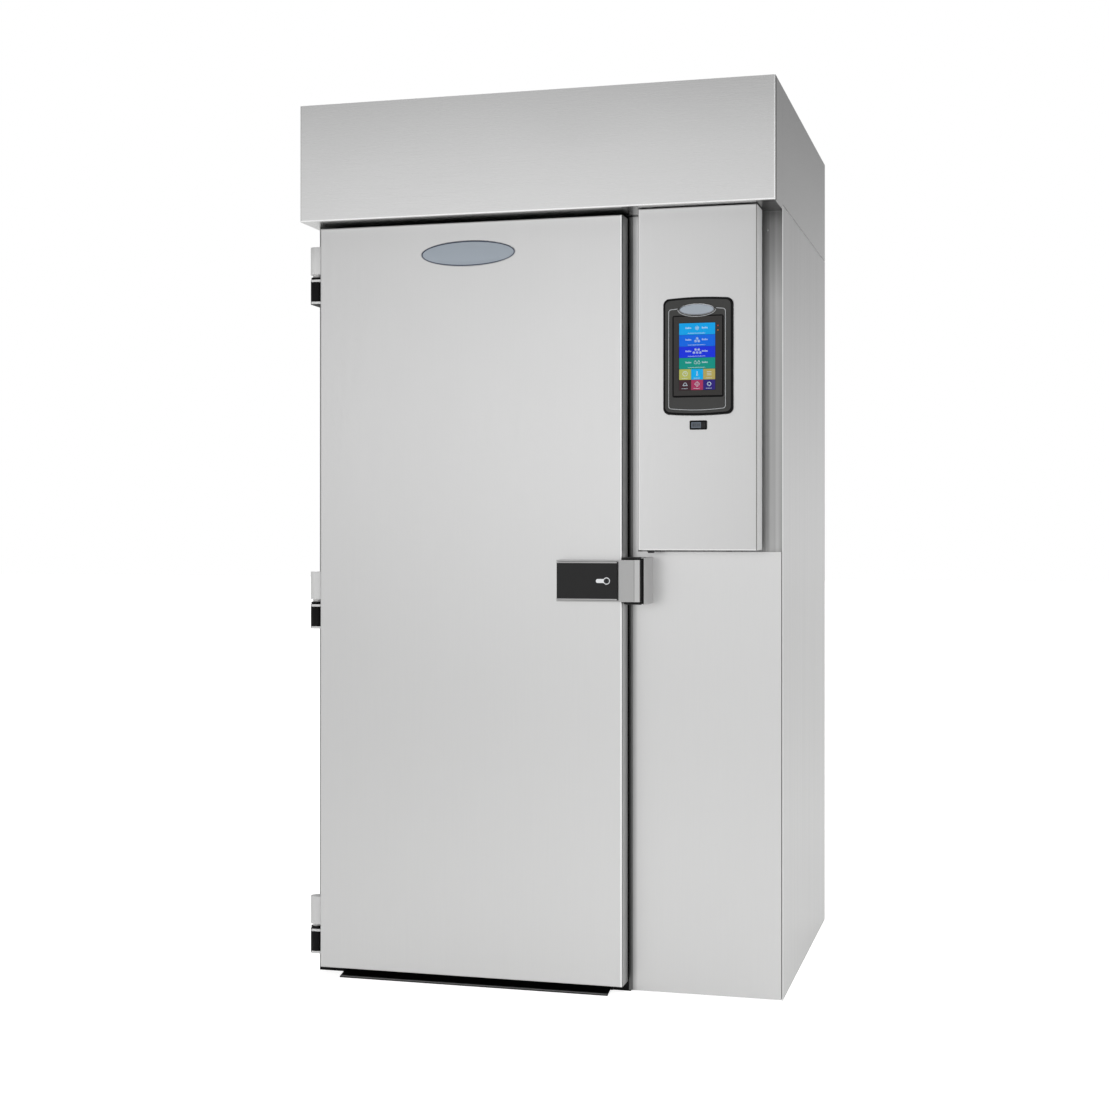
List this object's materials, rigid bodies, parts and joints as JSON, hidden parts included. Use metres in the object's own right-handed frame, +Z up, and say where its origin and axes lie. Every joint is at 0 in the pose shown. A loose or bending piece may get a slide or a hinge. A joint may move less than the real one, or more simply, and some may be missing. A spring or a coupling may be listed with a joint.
{
  "type": "roll-in blast chiller",
  "caption": "Tall insulated roll-in blast chiller with a hood, hinged door with lever latch, swing-out control box, fan wall and coil beside the rack space.",
  "frame": {"origin": "on the floor at the centre of the cabinet's footprint", "axes": "+Z up, +X to the right seen from the front, +Y to the back; the door faces -Y"},
  "size_m": [1.305, 1.183, 2.4],
  "materials": {
    "stainless": "brushed",
    "stainless_liner": "satin",
    "black_plastic": "matte",
    "black_rubber": "matte",
    "grey_plastic": "satin",
    "chrome": "polished",
    "zinc_steel": "satin",
    "screen_glass": "gloss",
    "foam": "matte",
    "aluminium": "satin",
    "galvanised": "satin",
    "circuit_board": "satin",
    "copper": "satin",
    "polyamide": "satin"
  },
  "bodies": {
    "cabinet": {"floor_panel": "stainless_liner", "left_wall_panel": "stainless_liner", "right_wall_panel": "stainless_liner", "rear_wall_panel": "stainless_liner", "header_panel": "stainless_liner", "column_panel": "stainless_liner", "ceiling_panel": "stainless_liner", "left_side_skin": "stainless", "right_side_skin": "stainless", "rear_skin": "galvanised", "door_frame_breaker": "black_plastic", "threshold_sill": "stainless_liner", "entry_ramp": "stainless_liner", "column_cover": "stainless", "hood_fascia": "stainless", "hood_left_panel": "stainless", "hood_right_panel": "stainless", "hood_rear_brace": "galvanised", "hinge_arms": "black_plastic", "hinge_pins": "zinc_steel", "strike_case": "zinc_steel", "strike_liner": "black_plastic", "box_pivots": "zinc_steel", "electrical_plate": "galvanised", "contactors_and_terminals": "grey_plastic", "relay_board": "circuit_board", "transformer": "zinc_steel", "fan_wall": "stainless_liner", "fan_motors": "aluminium", "fan_frames": "galvanised", "fan_guards": "zinc_steel", "coil_fins": "aluminium", "coil_ends": "galvanised", "coil_supports": "galvanised", "drain_pan": "stainless_liner", "suction_pipe": "copper", "liquid_pipe": "copper", "solenoid_valve": "copper", "roof_box": "grey_plastic", "rack_rails": "stainless_liner"},
    "door": {"door_skin": "stainless", "door_foam": "foam", "door_liner": "stainless_liner", "door_seals": "black_rubber", "hinge_leaves": "grey_plastic", "latch_housing": "grey_plastic"},
    "latch_lever": {"latch_lever": "black_plastic", "lock_body": "chrome"},
    "latch_tongue": {"latch_tongue": "polyamide"},
    "lock_plug": {"lock_plug": "chrome"},
    "inside_release": {"inside_release": "grey_plastic"},
    "control_box": {"control_box": "stainless", "controller_bezel": "black_plastic", "touch_glass": "screen_glass", "controller_module": "black_plastic", "data_port": "black_plastic"},
    "fan_rotor_1": {"fan_rotor_1": "polyamide"},
    "fan_rotor_2": {"fan_rotor_2": "polyamide"},
    "fan_rotor_3": {"fan_rotor_3": "polyamide"}
  },
  "joints": [
    {"name": "door_swing", "type": "hinge", "parent": "cabinet", "child": "door", "pos_m": [-0.6345, -0.565, 0.1645], "axis": [0, 0, -1], "range_deg": [0, 120]},
    {"name": "box_swing", "type": "hinge", "parent": "cabinet", "child": "control_box", "pos_m": [0.3129, -0.565, 1.63], "axis": [0, 0, -1], "range_deg": [0, 100]},
    {"name": "lever_turn", "type": "hinge", "parent": "door", "child": "latch_lever", "pos_m": [0.2289, -0.617, 1.104], "axis": [0, 0, 1], "range_deg": [0, 25], "stiffness_Nm_per_rad": 4, "springref_deg": -5.73},
    {"name": "tongue_slide", "type": "slide", "parent": "door", "child": "latch_tongue", "axis": [-1, 0, 0], "range_m": [0, 0.006]},
    {"name": "lock_turn", "type": "hinge", "parent": "latch_lever", "child": "lock_plug", "pos_m": [0.2063, -0.626, 1.104], "axis": [0, 1, 0], "range_deg": [0, 90]},
    {"name": "release_push", "type": "slide", "parent": "door", "child": "inside_release", "axis": [0, -1, 0], "range_m": [0, 0.01], "stiffness_N_per_m": 600, "springref_m": -0.004},
    {"name": "fan_spin_1", "type": "hinge", "parent": "cabinet", "child": "fan_rotor_1", "pos_m": [0.2535, 0.011, 0.42], "axis": [1, 0, 0], "continuous": true},
    {"name": "fan_spin_2", "type": "hinge", "parent": "cabinet", "child": "fan_rotor_2", "pos_m": [0.2535, 0.011, 1], "axis": [1, 0, 0], "continuous": true},
    {"name": "fan_spin_3", "type": "hinge", "parent": "cabinet", "child": "fan_rotor_3", "pos_m": [0.2535, 0.011, 1.58], "axis": [1, 0, 0], "continuous": true}
  ],
  "couplings": [
    {"joint": "tongue_slide", "follows": "lever_turn", "m_per_rad": 0.01375}
  ]
}
